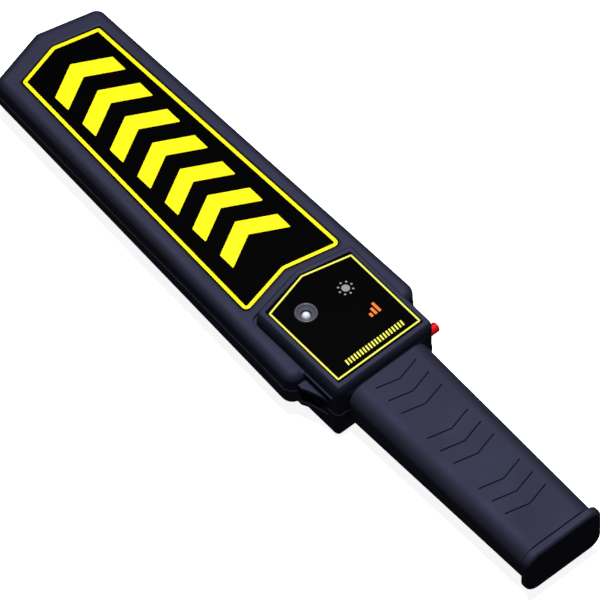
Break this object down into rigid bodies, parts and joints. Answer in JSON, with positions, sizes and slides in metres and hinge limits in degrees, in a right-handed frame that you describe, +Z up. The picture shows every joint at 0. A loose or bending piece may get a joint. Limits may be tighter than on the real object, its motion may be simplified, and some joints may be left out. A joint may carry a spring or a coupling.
{
  "type": "security metal detector wand",
  "caption": "Hand-held metal detector wand: flat five-sided sensing paddle, raised control block with lamp and sounder, and a straight grip with a pull-off battery cap.",
  "frame": {"origin": "on the resting surface, under the middle of the overall length and width", "axes": "+Y towards the tip of the paddle, +Z up out of the control panel, +X to the side of the push button"},
  "size_m": [0.087, 0.413, 0.0458],
  "materials": {
    "shell": "moulded ABS, fine spark texture, dark blue-grey",
    "grip": "moulded plastic sleeve, fine texture",
    "label": "printed film, black with yellow print",
    "rim": "smooth grey plastic bezel",
    "lamp": "clear epoxy, water-white",
    "sounder": "black moulded case",
    "mesh": "grey woven dust mesh",
    "board": "green solder mask on glass-epoxy",
    "chip": "black moulding compound",
    "can": "drawn can, satin",
    "trimmer": "blue moulded case",
    "former": "natural moulded plastic",
    "copper": "enamelled copper wire, wound",
    "steel": "zinc plated steel",
    "knob": "black moulded knob",
    "button": "red moulded cap, polished",
    "gasket": "black rubber",
    "pad": "closed-cell foam",
    "battery": "plain steel jacket",
    "red_wire": "red insulation",
    "black_wire": "black insulation"
  },
  "bodies": {
    "housing": {"upper_shell": "shell", "lower_shell": "shell", "grip_sleeve": "grip", "head_label": "label", "control_label": "label", "led_bezel": "rim", "status_led": "lamp", "sounder": "sounder", "sounder_mesh": "mesh", "circuit_board": "board", "processor": "chip", "amplifier_chip": "chip", "voltage_regulator": "chip", "sensitivity_trimmer": "trimmer", "capacitor_1": "can", "capacitor_2": "can", "board_screw_1": "steel", "board_screw_2": "steel", "coil_former": "former", "transmit_winding": "copper", "receive_winding": "copper", "coil_cable": "black_wire", "power_switch": "chip", "button_switch": "chip", "vibration_motor": "can", "contact_board": "board", "contact_positive": "steel", "contact_negative": "steel", "battery_wire_positive": "red_wire", "battery_wire_negative": "black_wire", "case_screw_1": "steel", "case_screw_2": "steel", "case_screw_3": "steel", "case_screw_4": "steel", "case_screw_5": "steel", "case_screw_6": "steel", "case_screw_7": "steel"},
    "slide_knob": {"switch_knob": "knob"},
    "button": {"push_button": "button"},
    "cap": {"end_cap": "shell", "cap_gasket": "gasket", "battery_pad": "pad"},
    "battery_pack": {"battery": "battery"},
    "eccentric": {"motor_weight": "steel"}
  },
  "joints": [
    {"name": "cap_pull", "type": "slide", "parent": "housing", "child": "cap", "axis": [0, -1, 0], "range_m": [0, 0.06]},
    {"name": "battery_slide", "type": "slide", "parent": "housing", "child": "battery_pack", "axis": [0, -1, 0], "range_m": [0, 0.06]},
    {"name": "knob_slide", "type": "slide", "parent": "housing", "child": "slide_knob", "axis": [0, 1, 0], "range_m": [-0.002, 0.002]},
    {"name": "button_press", "type": "slide", "parent": "housing", "child": "button", "axis": [-1, 0, 0], "range_m": [0, 0.0012], "stiffness_N_per_m": 400, "springref_m": -0.0005},
    {"name": "weight_spin", "type": "hinge", "parent": "housing", "child": "eccentric", "pos_m": [0.0052, -0.0356, 0.0074], "axis": [1, 0, 0], "continuous": true}
  ],
  "couplings": [
    {"joint": "battery_slide", "follows": "cap_pull", "ratio": 1}
  ]
}
